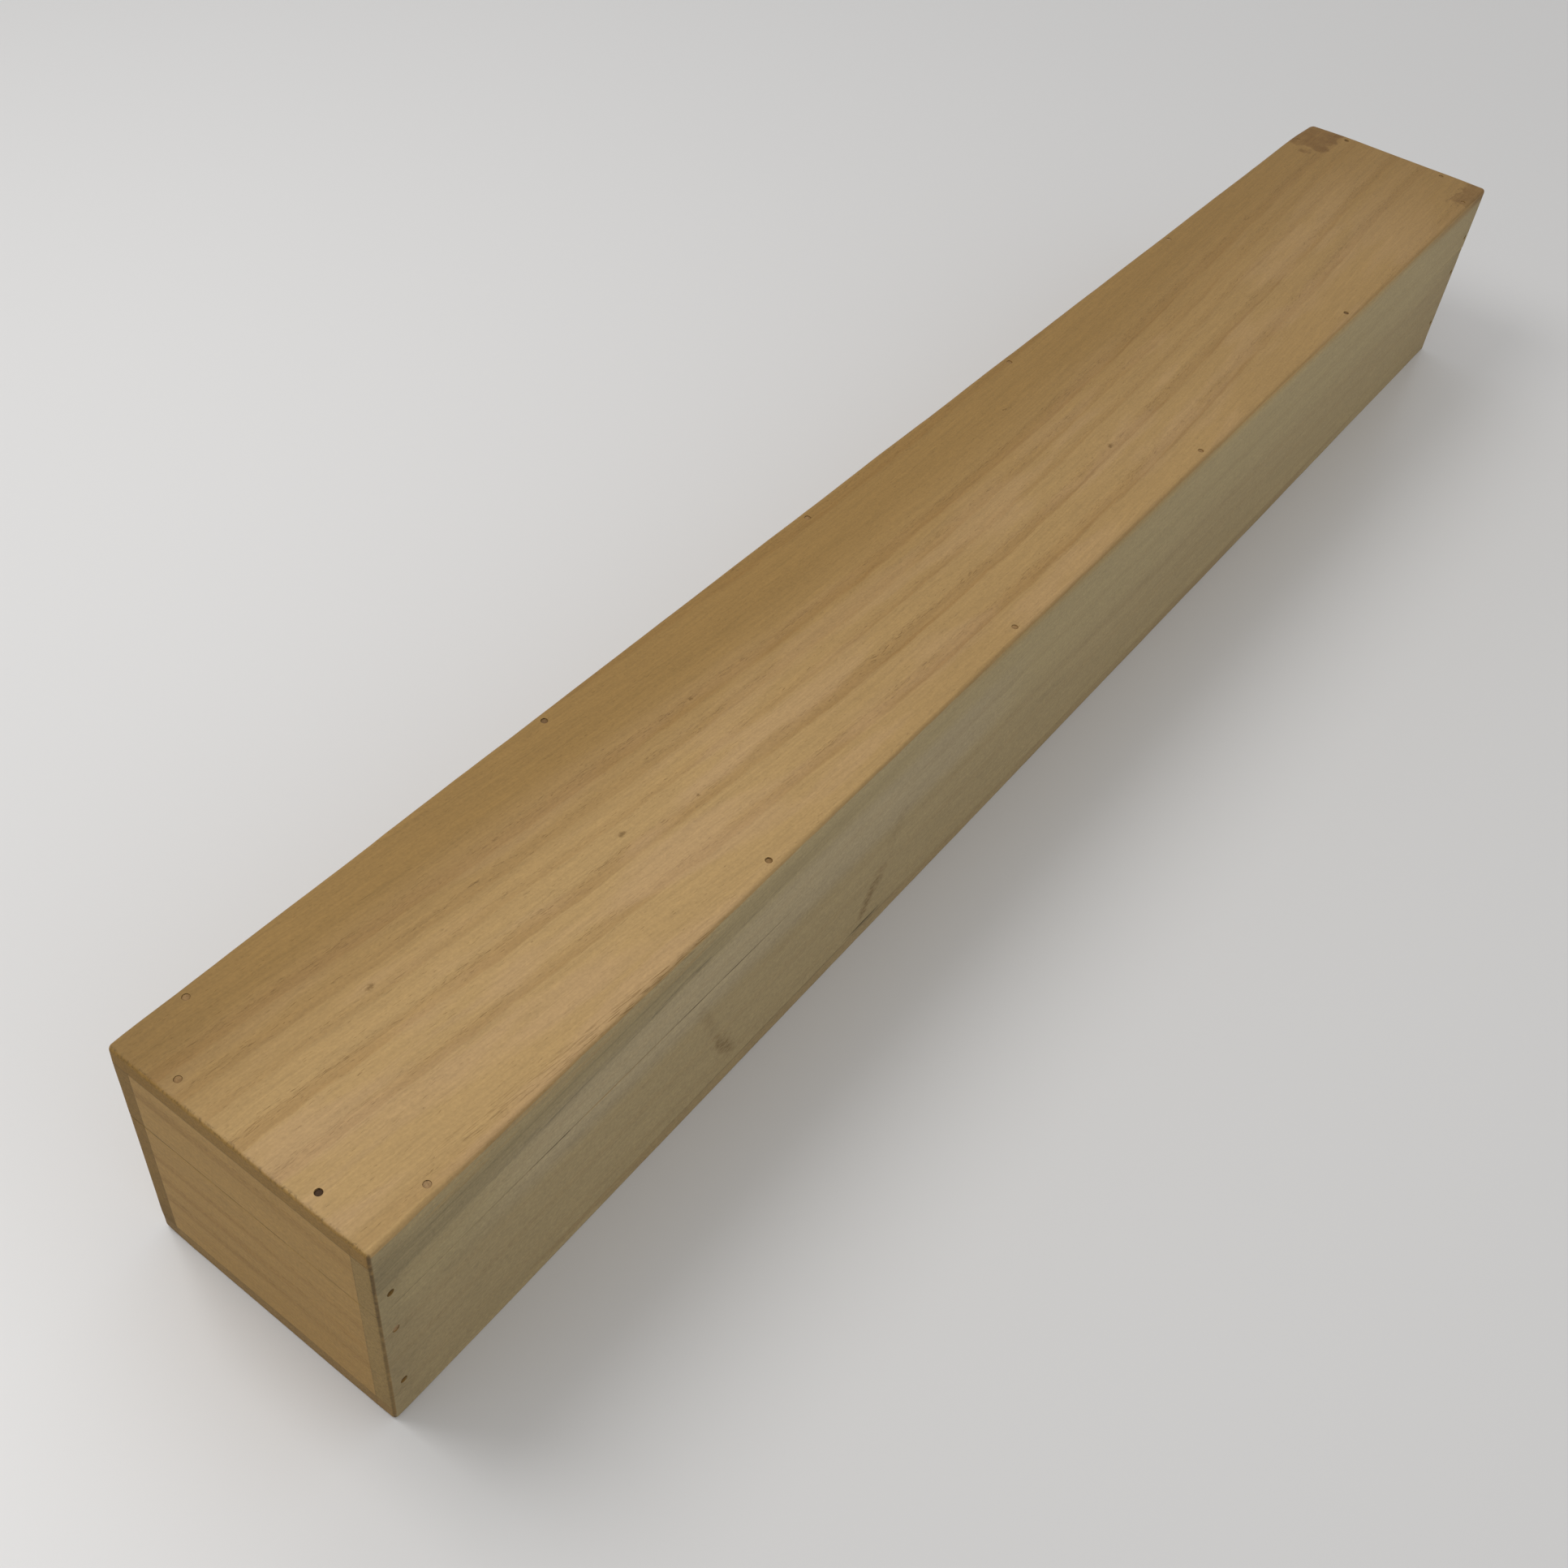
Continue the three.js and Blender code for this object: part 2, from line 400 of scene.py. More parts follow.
class Wood:
    """Paulownia whose grain runs along one axis, and whose growth rings show across another.

    Lengths are in mm. A ring is a band across the board: its place on the board's outer face, its
    half width and how dark it is. The rings sag along the board, and slant as they go into it.
    """

    def __init__(self, name, grain, across, rings, face, sag=0, wave=1, seed=0):
        self.material = bpy.data.materials.new(name)
        self.material.use_nodes = True
        self.tree = self.material.node_tree
        self.shader = self.tree.nodes["Principled BSDF"]
        places = self.tree.nodes.new("ShaderNodeTexCoord")
        self.x, self.y, self.z = self.parts(places.outputs["Object"], 1 / MM)
        self.facing = self.parts(places.outputs["Normal"], 1)
        position = [self.x, self.y, self.z]
        self.seed = seed
        self.along = position[grain]
        self.deep = position[3 - grain - across] - face / MM
        share = self.along * (MM / (cad_high.x - cad_low.x)) + 0.5
        turn = share.math("MAXIMUM", 0).math("POWER", 0.83) * math.pi
        bend = turn.math("SINE").math("MAXIMUM", 0).math("POWER", 1.4) * sag
        self.across = position[across] + self.deep * 0.5 + bend
        slow = self.cloud(1, 110, 9)
        jagged = self.cloud(2, 9, 3)
        self.across = self.across + ((slow - 0.5) * 3 + (jagged - 0.5) * 1.5) * wave
        patches = self.cloud(7, 34, 5)
        ring = self.bands(
            rings,
            ((front_edge, -0.3, 0), (front_edge, 0.3, 1), (rear_edge, 0, 0.8), (rear_edge, 2.6, 0)),
        )
        self.ring = ring * patches.rise(0.3, 0.6, 0.65, 1)
        crowd = self.bands(
            rings,
            ((front_edge, 0, 0), (rear_edge, -0.5, 0.5), (rear_edge, 0.6, 1), (rear_edge, 3.4, 0)),
        )
        vessel = self.cloud(8, 2.5, 0.16, detail=1)
        self.pores = (vessel + crowd * 0.11 + (patches - 0.5) * 0.14).rise(0.71, 0.77)
        self.end_grain = abs(self.facing[grain]).rise(0.45, 0.85)
        self.skin = self.outside().rise(3.4, 1.2)
        fibre = self.cloud(3, 38, 0.8)
        broad = self.cloud(4, 130, 5)
        mottle = self.cloud(5, 3.2, 1.6)
        thread = self.cloud(9, 14, 0.5)
        grit = self.cloud(6, 0.9, 0.6)
        self.shading = (
            (fibre - 0.5) * 0.12
            + (broad - 0.5) * 0.16
            + (mottle - 0.5) * 0.16
            + (thread - 0.5) * 0.3
            + (grit - 0.5) * 0.3
            + 1
        )
        self.height = fibre * 0.3 + thread * 0.3 + grit * 0.4 - self.pores * 0.7
        self.colour = None

    def parts(self, socket, scale):
        split = self.tree.nodes.new("ShaderNodeSeparateXYZ")
        self.tree.links.new(socket, split.inputs[0])
        return [Reading(each) * scale for each in split.outputs]

    def noise(self, seed, readings, detail):
        join = self.tree.nodes.new("ShaderNodeCombineXYZ")
        start = 3.17 * (self.seed + seed)
        for slot, reading in zip(join.inputs, readings):
            self.tree.links.new((reading + start).socket, slot)
        node = self.tree.nodes.new("ShaderNodeTexNoise")
        self.tree.links.new(join.outputs[0], node.inputs["Vector"])
        node.inputs["Scale"].default_value = 1
        node.inputs["Detail"].default_value = detail
        return Reading(node.outputs["Fac"])

    def cloud(self, seed, length, width, detail=2):
        """An unevenness around one half, with waves this long and this wide in mm."""
        readings = (self.along / length, self.across / width, self.deep / width)
        return self.noise(seed, readings, detail)

    def speckle(self, seed, size, detail=2):
        """An unevenness around one half, whose waves have this size in mm every way."""
        return self.noise(seed, (self.x / size, self.y / size, self.z / size), detail)

    def bands(self, rings, profile):
        """A reading that rises and falls across each ring.

        Each step of its profile is the ring's front or rear edge, how far behind it in mm, and
        the reading there.
        """
        span = 140
        ramp = self.tree.nodes.new("ShaderNodeValToRGB")
        ramp.color_ramp.interpolation = "EASE"
        self.tree.links.new((self.across / span + 0.5).socket, ramp.inputs[0])
        elements = ramp.color_ramp.elements
        elements[0].color = elements[1].color = (0, 0, 0, 1)
        for place, width, depth in rings:
            for edge, behind, reading in profile:
                stop = elements.new((place + edge * width + behind) / span + 0.5)
                stop.color = [depth * reading] * 3 + [1]
        return Reading(ramp.outputs["Color"])

    def outside(self):
        """How deep a place lies under the outside of the case, in mm."""
        half_x = cad_high.x / MM
        half_y = cad_high.y / MM
        side = (half_x - abs(self.x)).lesser(half_y - abs(self.y))
        return side.lesser(cad_high.z / MM - self.z).lesser(self.z)

    def mixed(self, amount, first, second):
        """From the first colour to the second."""
        node = self.tree.nodes.new("ShaderNodeMix")
        node.data_type = "RGBA"
        self.tree.links.new(amount.socket, node.inputs["Factor"])
        for slot, colour in ((6, first), (7, second)):
            if isinstance(colour, int):
                node.inputs[slot].default_value = tone(colour)
            else:
                self.tree.links.new(colour, node.inputs[slot])
        return node.outputs[2]

    def tint(self, amount, colour):
        """Carries the wood some of the way to a colour."""
        self.colour = self.mixed(amount, self.colour, colour)

    def shade(self, amount, share):
        """Darkens the wood by a share where the amount is one. A share below nothing lightens it."""
        self.shading = self.shading * (1 - amount * share)

    def finished(self, roughness=0.66):
        scale = self.tree.nodes.new("ShaderNodeVectorMath")
        scale.operation = "SCALE"
        self.tree.links.new(self.colour, scale.inputs[0])
        self.tree.links.new(self.shading.socket, scale.inputs["Scale"])
        self.tree.links.new(scale.outputs[0], self.shader.inputs["Base Color"])
        rough = self.pores * 0.1 + self.end_grain * 0.12 + roughness
        self.tree.links.new(rough.socket, self.shader.inputs["Roughness"])
        self.shader.inputs["Specular IOR Level"].default_value = 0.25
        bump = self.tree.nodes.new("ShaderNodeBump")
        bump.inputs["Strength"].default_value = 0.4
        bump.inputs["Distance"].default_value = grain_depth
        self.tree.links.new(self.height.socket, bump.inputs["Height"])
        self.tree.links.new(bump.outputs[0], self.shader.inputs["Normal"])
        return self.material


fresh = 0xCFB384
fresh_ring = 0xB4976A
handled = 0x9E7D47
blush = 0xB1916C
ring_brown = 0x77501C
pore_brown = 0x573C1C
torn_brown = 0x6A4E25
lid_grey = 0xA8966E
dust_grey = 0xA89B8A
rubbed_tan = 0xA48853
base_grey = 0xA4916A
seam_brown = 0x3F311E
edge_brown = 0x54432A
foot_grey = 0x5E5138
sliver_tan = 0xB4935C
water_brown = 0x6B5028
dull_end_grain = 0x87714A
bottom_end_grain = 0x876D45


def kept_faces(wood, colour):
    """Colours the handled outside of a case board, with painted light on parts of the front. The front
    is greyer.
    """
    wood.colour = wood.mixed(wood.skin, fresh, colour)
    wood.from_left = wood.x - cad_low.x / MM
    wood.left = (wood.facing[0] * -1).rise(0.4, 0.8) * wood.skin
    top_line = wood.z + (wood.noise(33, (wood.x / 12, wood.y, wood.z), 2) - 0.5) * 1.6
    under_foot = wood.z.rise(3, 1) * 0.5
    forward = (under_foot - wood.facing[1]).rise(0.82, 0.95) * wood.skin
    wood.front = forward * top_line.rise(76.9, 76.4)
    wood.tint(wood.front, wood.mixed(wood.z.rise(36, 54), base_grey, lid_grey))

    # Towards the far end hands have rubbed the front's upper edge warmer. Painted light makes it
    # paler: on the upper front, and on the rounding above it, which faces up.
    rubbed = wood.z.rise(72, 78.5) * wood.from_left.rise(200, 260)
    wood.tint(rubbed * wood.front, rubbed_tan)
    wood.shade(wood.z.rise(70, 75) * wood.from_left.between(390, 560, 25) * wood.front, -0.11)
    wood.shade((forward - wood.front) * wood.z.rise(74, 76) * wood.from_left.rise(380, 440), -0.27)
    wood.tint(wood.z.rise(71, 76) * wood.from_left.rise(575, 606) * wood.front * 0.75, handled)

    # Dust lies thickest along the saw cut. The front and the left end are a little speckled.
    dusty = wood.z.between(43, 65, 4) * wood.from_left.between(40, 260, 25)
    wood.tint(dusty * wood.front * 0.24, dust_grey)
    wood.shade((wood.front + wood.left) * (wood.speckle(35, 0.8) - 0.5), 0.4)

    # The front is painted paler along its foot, as painted light against the shade where the rounding
    # turns under. It is browner towards its far end, and darker by both corners.
    wood.shade(wood.front * wood.z.rise(6, 2) * wood.from_left.rise(400, 150), -0.06)
    wood.tint(wood.front * wood.from_left.rise(585, 640) * 0.13, water_brown)
    wood.shade(wood.from_left.rise(632, 644) * wood.front, 0.06)
    near_corner = wood.from_left.rise(70, 15) * 0.08 + wood.from_left.rise(16, 1) * 0.12
    wood.shade(wood.front * near_corner, 1)

    # The left end is darker low down by the rear corner, and paler in its upper part.
    wood.shade(wood.left * wood.y.rise(34, 36) * wood.z.rise(18, 4), 0.22)
    wood.shade(wood.left * wood.z.rise(26.5, 30.5, 0.5, 1), -0.07)


def kept_grain(wood, end_colour):
    """Growth rings and pores, and the darker end grain, which soaks up more dirt."""
    wood.tint(wood.ring * 0.3, ring_brown)
    wood.tint(wood.pores * 0.5, pore_brown)
    wood.tint(wood.end_grain * wood.skin * 0.85, end_colour)
    wood.shade(wood.end_grain * wood.speckle(20, 0.7).rise(0.5, 0.75), 0.16)


def worn_edges(wood):
    """Dirt worn into the upright left front corner, and torn fibres round the top's ends."""
    corner = (wood.facing[0] * -1).lesser(wood.facing[1] * -1).rise(0.3, 0.6)
    corner = corner * wood.speckle(19, 2.5).rise(0.3, 0.5, 0.5, 1)
    wood.tint(corner * wood.skin * wood.z.rise(0, 70, 0.45, 0.8), edge_brown)
    brow = abs(wood.facing[0]).lesser(wood.facing[2]).rise(0.12, 0.5)
    torn = wood.speckle(21, 0.9).rise(0.5, 0.62)
    wood.tint(brow * torn * wood.skin * 0.4, edge_brown)


def saw_line(wood):
    """The saw cut, which stands open along part of the front and shuts tight elsewhere, with painted
    highlights and painted shadow along its edges.
    """
    cut = abs(wood.z - cut_height / MM).rise(0.34, 0.14)
    cut = cut * wood.speckle(22, 4).rise(0.32, 0.5, 0.4, 1)
    ajar = wood.from_left.between(42, 140, 10) * 0.8 + wood.from_left.between(3, 150, 3) * 0.3
    # Painted highlight: the base's edge under the open cut is painted paler, as if its rounded lip
    # caught the light.
    wood.shade(ajar * wood.z.between(48.2, 50.4, 0.3) * wood.front, -0.06)
    # Near the far end a painted highlight runs just above the cut, and painted shadow lies under it by
    # the far corner, where the base is chipped.
    wood.shade(wood.from_left.rise(592, 612) * wood.z.near(51.9, 1.3) * wood.front, -0.1)
    wood.shade(wood.from_left.rise(622, 640) * wood.z.between(42, 50.6, 1) * wood.front, 0.08)
    wood.shade(wood.from_left.rise(628, 642) * wood.z.between(48.4, 50.6, 0.5) * wood.front, 0.1)
    ajar = ajar + wood.from_left.rise(600, 640) * 0.4
    wood.tint(cut * wood.front * ajar, seam_brown)
    wood.tint(cut * wood.left * wood.y.rise(-30, 20, 0.4, 0.95), seam_brown)


def glue_lines(wood):
    """Where boards meet: fine dark lines on the left end, and a stretch along the foot."""
    joint = wood.z.near(under_top / MM, 0.5) * 0.35 + wood.z.near(over_bottom / MM, 0.5) * 0.12
    joint = joint + abs(wood.y).near(inner_y / MM, 0.35) * 0.2
    wood.tint(joint * wood.left, edge_brown)
    foot = wood.z.near(over_bottom / MM, 0.5) * wood.from_left.between(100, 215, 10)
    wood.tint(foot * wood.front * wood.speckle(23, 7).rise(0.3, 0.6, 0.1, 0.6), foot_grey)


def kept(wood, colour=handled, end_colour=dull_end_grain):
    """The wood of a case board: pale inside, and darker where the outside has been handled."""
    kept_faces(wood, colour)
    kept_grain(wood, end_colour)
    worn_edges(wood)
    saw_line(wood)
    glue_lines(wood)


def water_mark(wood, x, z, lean, width, height):
    """How strongly water has stained a leaning patch of the front: ragged, and mottled inside."""
    up = wood.z - z
    off = (wood.from_left - x - up * lean) / width
    ragged = (wood.noise(26, (wood.x / 4, wood.y, wood.z / 2.6), 5) - 0.5) * 2.4
    far = (off * off + up * up * (1 / height ** 2)).math("SQRT") + ragged
    mottled = wood.noise(32, (wood.x / 1.8, wood.y, wood.z / 0.9), 3).rise(0.38, 0.6, 0.4, 1)
    return far.rise(1.15, 0.2) * mottled


# Water marks: how far each is from the left end and how high, the way that it leans, half of its
# width and height, and how strong it is.
water_marks = [
    (124.5, 18.5, -0.45, 4, 9.5, 1),
    (116.5, 37, -0.4, 3, 10, 0.4),
    (195.5, 19, 0.5, 4.2, 11, 1),
    (204.5, 40, 0.3, 4, 13, 0.25),
]
edge_slant = 0.04  # how steeply the grain climbs along the front, under the lid's edge


def edge_streaks(wood):
    """The dark wedge of slanting grain under the lid's front edge, with pale slivers in it."""
    slant = wood.z - wood.from_left * edge_slant
    streaks = wood.noise(24, (wood.x / 26, (wood.z - wood.x * edge_slant) / 0.9, wood.y), 2)
    wedge = slant.rise(60, 61) * wood.z.rise(75.5, 70) * streaks.rise(0.35, 0.65, 0.5, 1)
    wood.shade(wedge * wood.from_left.rise(270, 110) * wood.front, 0.22)
    dashes = wood.noise(36, (wood.x / 8, slant / 0.7, wood.y), 2).rise(0.5, 0.58)
    dashes = dashes * slant.near(61.6, 1.8) * wood.from_left.between(45, 150, 12)
    line = (wood.z - wood.from_left * 0.03).near(67.8, 0.8) * wood.from_left.between(5, 110, 12)
    wood.shade((dashes + line * 0.5) * wood.front, 0.3)
    sliver = wood.noise(37, (wood.x / 16, (wood.z - wood.x * 0.05) / 0.6, wood.y), 2).rise(0.55, 0.63)
    sliver = sliver * wood.z.between(70.5, 77, 1) * wood.from_left.between(10, 115, 8)
    wood.tint(sliver * wood.front * 0.45, sliver_tan)


def front_marks(wood):
    """What shows on the front alone: streaks of grain, dull patches and water marks."""
    edge_streaks(wood)

    # Paler bands over the saw cut and along the foot.
    band = wood.z.between(52, 61, 1.5) * wood.from_left.between(30, 210, 15)
    wood.shade(band * wood.front, -0.06)
    wood.shade(wood.z.between(5.5, 14, 3) * wood.front, -0.04)

    # Two fine dark lines of grain, the second with a smear on it, and dull patches above them.
    line = (wood.z - wood.from_left * 0.03).near(22.4, 0.7) * wood.from_left.between(4, 105, 12)
    wood.shade(line * wood.front, 0.08)
    line = wood.z.near(29, 0.8) * wood.from_left.between(225, 430, 20)
    smear = wood.z.near(30.6, 2.6) * wood.from_left.between(284, 304, 9)
    wood.shade((line * 0.5 + smear).lesser(1) * wood.front, 0.12)
    patches = wood.z.between(41.5, 46.5, 1) * wood.from_left.between(14, 215, 12)
    wood.shade(patches * wood.speckle(25, 5).rise(0.38, 0.6, 0.4, 1) * wood.front, 0.07)

    # The water marks, and a dark smudge under the last of them.
    wet = 0
    for x, z, lean, width, height, strength in water_marks:
        wet = water_mark(wood, x, z, lean, width, height) * strength + wet
    wood.tint(wet.lesser(1) * wood.front * 0.62, water_brown)
    smudge = wood.from_left.near(194, 13) * wood.z.near(6.7, 1)
    wood.tint(smudge * wood.front * 0.9, seam_brown)


board_rings = [(-34, 3, 0.7), (-19, 3, 0.9), (-3, 3, 0.6), (12, 3, 0.9), (29, 3, 0.7)]
wood = Wood("bottom board wood", 0, 1, board_rings, 0, sag=8, seed=11)
kept(wood, end_colour=bottom_end_grain)
front_marks(wood)
plank("base_bottom_board", wood.finished())

# Base front and rear sides
# Two long boards that stand on the bottom board, glued and pegged to it. They run the whole
# length of the case, so their end grain shows at both of its ends.
low_rings = [(12, 1, 0.2), (27, 0.7, 0.3), (39, 0.7, 0.25), (58, 1, 0.2)]
front_end_grain = 0x8C754A
rear_end_grain = 0x7B6034


def side_board(node, end_colour, seed):
    wood = Wood(node + " wood", 0, 2, low_rings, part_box(node)[0].y, sag=2, wave=0.5, seed=seed)
    kept(wood, end_colour=end_colour)
    front_marks(wood)
    plank(node, wood.finished())


side_board("base_front_side", front_end_grain, 21)
side_board("base_rear_side", rear_end_grain, 31)

# Base ends
# Short boards between the sides, with their grain running across the box. Two pegs through each
# side hold them.
end_rings = [(12, 0.6, 0.3), (20, 0.8, 0.9), (28.5, 1, 0.9), (38.5, 0.8, 0.9), (65, 1.6, 0.8)]


def end_board(node, seed):
    wood = Wood(node + " wood", 1, 2, end_rings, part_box(node)[0].x, wave=0.6, seed=seed)
    wood.ring = wood.ring * wood.y.rise(-25, 30, 0.75, 1.3)
    kept(wood)
    plank(node, wood.finished())


end_board("base_left_end", 41)
end_board("base_right_end", 51)

# Lip strips
# Thin strips of the same wood, glued round the inside of the base. They stand above the saw cut,
# planed back a hair and chamfered, so that the lid slides down over them.
lip_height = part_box("base_lip_front")[1].z
lip_ease = 0.3 * MM
lip_lead = 0.8 * MM  # the chamfer along the top
lip_spacing = (6 * MM, 6 * MM, 5 * MM)


def lip_room(point):
    """Draws a point in to the room that the lid leaves for the lips."""
    ease = lip_ease if point.z > cut_height else 0
    lead = max(0, point.z - lip_height + lip_lead)
    x = inner_x - ease - lead
    y = inner_y - ease - lead
    return Vector((min(max(point.x, -x), x), min(max(point.y, -y), y), point.z))


for node, grain, seed in (
    ("base_lip_front", 0, 111),
    ("base_lip_rear", 0, 121),
    ("base_lip_left", 1, 131),
    ("base_lip_right", 1, 141),
):
    low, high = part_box(node)
    deep = low.y if grain == 0 else low.x
    wood = Wood(node + " wood", grain, 2, low_rings, deep, sag=1, seed=seed)
    wood.colour = wood.mixed(wood.ring * 0.5, fresh, fresh_ring)
    wood.tint(wood.pores * 0.35, pore_brown)
    wood.tint(wood.z.rise(cut_height / MM - 1, lip_height / MM) * 0.3, handled)

    def lip_shape(point, low=low, high=high):
        return lip_room(rounded(point, low, high, edge_ease))

    mesh = box_mesh(low, high, lip_spacing, lip_shape)
    piece(mesh, node, wood.finished())

# Roller rests
# Two upright boards across the inside, each with a round notch that carries one end of the
# scroll's roller clear of the bottom.
notch_radius = 13 * MM
notch_floor = 27 * MM
notch_steps = 32
rest_ease = 0.4 * MM  # taken off every sharp edge of a rest
for node, seed in (("left_roller_rest", 151), ("right_roller_rest", 161)):
    low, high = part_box(node)
    outline = [(low.y, low.z), (high.y, low.z), (high.y, high.z), (notch_radius, high.z)]
    for i in range(notch_steps + 1):
        angle = math.pi * i / notch_steps
        y = notch_radius * math.cos(angle)
        outline.append((y, low.z + notch_floor - notch_radius * math.sin(angle)))
    outline += [(-notch_radius, high.z), (low.y, high.z)]
    mesh = bmesh.new()
    ring = [mesh.verts.new((low.x, y, z)) for y, z in outline]
    face = mesh.faces.new(ring)
    grown = bmesh.ops.extrude_face_region(mesh, geom=[face])
    moved = [item for item in grown["geom"] if isinstance(item, bmesh.types.BMVert)]
    bmesh.ops.translate(mesh, verts=moved, vec=(high.x - low.x, 0, 0))
    bmesh.ops.recalc_face_normals(mesh, faces=mesh.faces)
    sharp = [edge for edge in mesh.edges if edge.calc_face_angle() > 0.5]
    bmesh.ops.bevel(mesh, geom=sharp, offset=rest_ease, segments=2, profile=0.5, affect="EDGES")
    wood = Wood(node + " wood", 1, 2, low_rings, low.x, seed=seed)
    wood.colour = wood.mixed(wood.ring * 0.5, fresh, fresh_ring)
    wood.tint(wood.pores * 0.35, pore_brown)
    wood.tint(wood.end_grain * 0.3, ring_brown)
    piece(mesh, node, wood.finished())

# Lid front and rear sides
# The upper strips of the long walls. They were one board with the sides of the base until the saw
# parted them, and they stay glued and pegged to the top board.
side_board("lid_front_side", front_end_grain, 61)
side_board("lid_rear_side", rear_end_grain, 71)

# Lid ends
# The upper strips of the end boards, with one peg through each side to hold them. Their growth
# rings go on from those of the base ends, because the saw parted one board.
end_board("lid_left_end", 81)
end_board("lid_right_end", 91)

# Lid top board
# A wide plank laid over all four walls, pegged down into their edges. Its growth rings sag
# along it, and it is palest near the left front corner, partly with painted light.
# The top's colours where painted light falls on it and where painted shade does; both also carry
# patina.
top_pale_and_lit = 0xAC8D5D
top_dull_and_shaded = 0x8D6E3D
top_end_grain = 0x856632
stain_brown = 0x542E05
top_rings = [
    (-37.5, 1.4, 0.5),
    (-13.8, 1.2, 0.9),
    (-1, 1.3, 1),
    (9.6, 0.6, 0.6),
    (17.6, 1, 0.6),
    (25.6, 1.4, 0.9),
    (53, 1.2, 0.6),
]
wood = Wood("top board wood", 0, 1, top_rings, cad_high.z, sag=16, seed=101)

# How pale the top is: less towards the far end, and less towards the rear. This is partly patina and
# partly painted light that falls off away from the left front corner.
pale = wood.x.rise(-215, -55, 0.92, 0.58) - wood.x.rise(40, 140) * 0.14 - wood.x.rise(220, 320) * 0.34
pale = pale * ((wood.y + wood.across) * 0.5).rise(-3, 39, 1, -0.08)
wood.ring = wood.ring * wood.x.rise(-60, 300, 1, 0.6)
kept(wood, wood.mixed(pale, top_dull_and_shaded, top_pale_and_lit), end_colour=top_end_grain)
top_face = wood.facing[2].rise(0.4, 0.9)
wood.tint(wood.cloud(31, 60, 10).rise(0.45, 0.62) * top_face * pale * 0.4, blush)
# Painted shade darkens the top by its left rear corner.
wood.shade(wood.from_left.rise(45, 3) * wood.y.rise(5, 38) * top_face, 0.12)

# Each ring has a thin dark line along its front edge, broken here and there.
line = wood.bands(
    top_rings,
    ((front_edge, -0.6, 0), (front_edge, -0.2, 1), (front_edge, 0.5, 1), (front_edge, 1.1, 0)),
)
line = line * wood.cloud(38, 28, 1.2).rise(0.42, 0.58) * wood.x.rise(-150, -90) * wood.x.rise(280, 200)
wood.tint(line * 0.22, ring_brown)
front_marks(wood)

# Torn grain that slants over the front edge, worst where it crosses the rounding.
over_edge = wood.y + cad_high.y / MM + wood.z - cad_high.z / MM
strand = over_edge + wood.from_left * 0.09
torn = wood.noise(27, (wood.x / 7, strand / 0.35, wood.z * 0), 2).rise(0.52, 0.62)
torn = torn * strand.between(6.4, 10.4, 0.8) * wood.from_left.between(26, 118, 8)
wood.tint(torn * over_edge.near(0, 3).rise(0, 1, 0.35, 0.7) * wood.skin, torn_brown)

# Pin knots: how far along and across the board each one is, and its size.
for x, y, size in (
    (-273.9, 8.7, 0.9),
    (-199.1, -4.4, 0.9),
    (41, -13.7, 1),
    (-148.5, 14, 0.6),
    (-175.5, -10.4, 0.5),
):
    along = wood.x - x
    beside = wood.y - y
    far = (along * along * 0.4 + beside * beside).math("SQRT") + (wood.speckle(28, 0.8) - 0.5) * 1.5
    wood.tint(far.rise(size + 0.2, size * 0.2) * 0.7, torn_brown)

# Brown stains at the two far corners. The front one has a darker rim.
blotch = wood.speckle(29, 5, detail=4) - 0.5
stained = wood.from_left + blotch * 20
patchy = wood.speckle(34, 3.5, detail=3).rise(0.3, 0.62, 0.65, 1)
wrapped = wood.z.rise(73, 75) * wood.from_left.rise(626, 636)
patchy = patchy * (wood.facing[2].rise(0.3, 0.8) + wrapped).lesser(1)
stain = stained.rise(617.5, 621) * (wood.y + blotch * 8).rise(24, 25.6)
wood.tint(stain * patchy * 0.46, stain_brown)
rim = (wood.y + blotch * 10).near(-33.4, 0.8) * wood.from_left.between(620, 639, 2) * 0.35
stain = stained.rise(620, 624) * (wood.y + blotch * 10).rise(-33, -34.2)
wood.tint((stain * patchy * 0.34 + rim).lesser(0.6), stain_brown)
plank("lid_top_board", wood.finished())

# Pegs
# Pegs of harder wood, whittled to a taper and driven dry. Their heads were cut off and have since
# sunk a little; dirt has darkened some of them. The darkest tone is partly painted shade of deep-sunk
# heads.
head_rim = 0.95 * MM  # the cut face of a head, inside its eased rim
rim_depth = 0.04 * MM
head_radius = 1 * MM
waist_radius = 0.86 * MM
tip_radius = 0.68 * MM
# The dark tone is dirt and painted shade: it darkens heads as if they lay deeper in their holes than
# they are built.
peg_tones = {"pale": 0xA1825A, "tan": 0x937349, "brown": 0x735837, "dark": 0x443120}
peg_woods = {}
for name, colour in peg_tones.items():
    wood = Wood(name + " peg wood", 2, 1, [], 0, seed=171)
    wood.colour = wood.mixed(wood.speckle(30, 0.5).rise(0.3, 0.8) * 0.4, colour, pore_brown)
    peg_woods[name] = wood.finished(0.6)

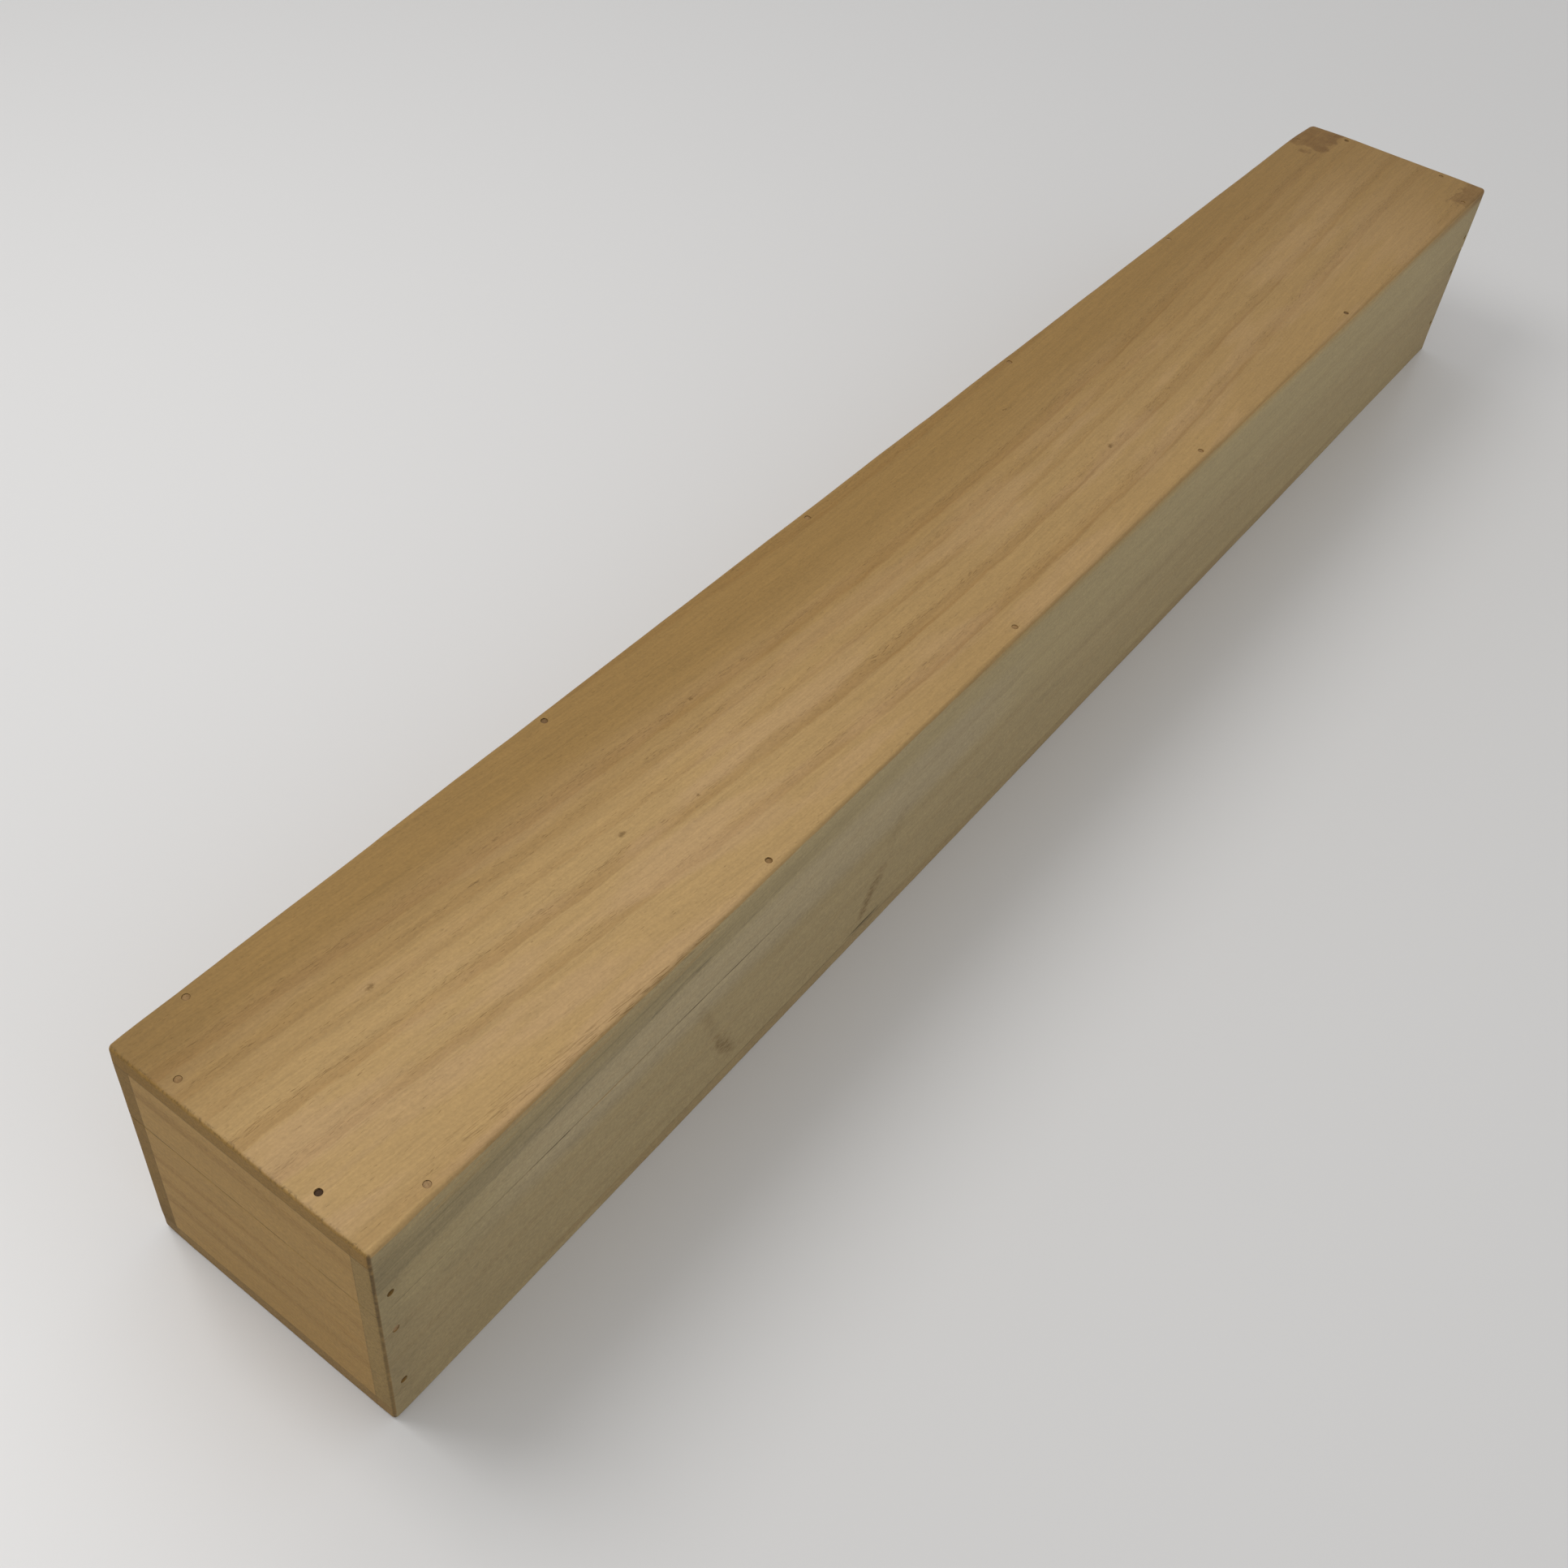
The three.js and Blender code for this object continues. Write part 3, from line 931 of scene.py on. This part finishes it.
# How a head looks: its colour, how deep it has sunk in mm, and how much it leans.
heads = {
    "lid_top_board_peg_front_1": ("pale", 0.08, 0.05),
    "lid_top_board_peg_front_2": ("tan", 0.42, 0.18),
    "lid_top_board_peg_front_3": ("tan", 0.06, 0.03),
    "lid_top_board_peg_front_4": ("tan", 0.12, 0.06),
    "lid_top_board_peg_front_5": ("brown", 0.12, 0.05),
    "lid_top_board_peg_front_6": ("tan", 0.06, 0.02),
    "lid_top_board_peg_rear_1": ("tan", 0.06, 0.03),
    "lid_top_board_peg_rear_2": ("brown", 0.18, 0.06),
    "lid_top_board_peg_rear_3": ("tan", 0.08, 0.03),
    "lid_top_board_peg_rear_4": ("tan", 0.08, 0.03),
    "lid_top_board_peg_rear_5": ("pale", 0.05, 0.02),
    "lid_top_board_peg_rear_6": ("tan", 0.05, 0.02),
    "lid_top_board_peg_left_rear": ("tan", 0.14, 0.14),
    "lid_top_board_peg_left_front": ("dark", 0.4, 0.1),
    "lid_left_front_peg": ("dark", 0.5, 0.2),
    "base_left_front_upper_peg": ("pale", 0.03, 0.02),
    "base_left_front_lower_peg": ("brown", 0.3, 0.15),
}
chance = random.Random(7)
for node in peg_nodes:
    some = (chance.choice(("pale", "tan", "tan", "brown")), chance.uniform(0.1, 0.4), 0.08)
    colour, sunk, lean = heads.get(node, some)
    head, way, length = peg_line(node)
    stations = [
        (sunk * MM, head_rim, lean * MM),
        (sunk * MM + rim_depth, head_radius, lean * MM),
        (length * 0.5, waist_radius, 0),
        (length, tip_radius, 0),
    ]
    mesh = bmesh.new()
    round_bar(mesh, head, way, stations, 24)
    piece(mesh, node, peg_woods[colour])

# Floor
# A plain pale table top with a little gloss, for the box to stand on. It is no part of the box.
# It reaches far out on every side, so that its edge never shows beside the box.
floor_reach = 30  # in metres
floor_mesh = bmesh.new()
bmesh.ops.create_grid(floor_mesh, x_segments=8, y_segments=8, size=floor_reach)
floor_data = bpy.data.meshes.new("floor")
floor_mesh.to_mesh(floor_data)
floor_mesh.free()
floor = bpy.data.objects.new("floor", floor_data)
bpy.context.scene.collection.objects.link(floor)
floor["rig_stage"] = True
floor_paint = bpy.data.materials.new("floor")
floor_paint.use_nodes = True
paint = floor_paint.node_tree.nodes["Principled BSDF"]
paint.inputs["Base Color"].default_value = tone(0xD5D4D3)
paint.inputs["Roughness"].default_value = 0.3
paint.inputs["Specular IOR Level"].default_value = 0.35
floor_data.materials.append(floor_paint)

# Light
# A soft lamp above and behind the left end, and an even brightness from the whole room. Both are
# so dim that a colour looks about as it is written.
lamp_data = bpy.data.lights.new("lamp", "AREA")
lamp_data.shape = "DISK"
lamp_data.size = 0.5
lamp_data.energy = 3.65
lamp = bpy.data.objects.new("lamp", lamp_data)
lamp.location = (-0.35, 0.45, 0.83)
lamp.rotation_euler = (-lamp.location).to_track_quat("-Z", "Y").to_euler()
bpy.context.scene.collection.objects.link(lamp)
world = bpy.data.worlds.new("room")
world.use_nodes = True
world.node_tree.nodes["Background"].inputs["Color"].default_value = (1, 1, 1, 1)
world.node_tree.nodes["Background"].inputs["Strength"].default_value = 0.68
bpy.context.scene.world = world
bpy.context.scene.view_settings.view_transform = "Standard"

visual_low, visual_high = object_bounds()
size = {"cad": [list(cad_low), list(cad_high)], "visual": [list(visual_low), list(visual_high)]}
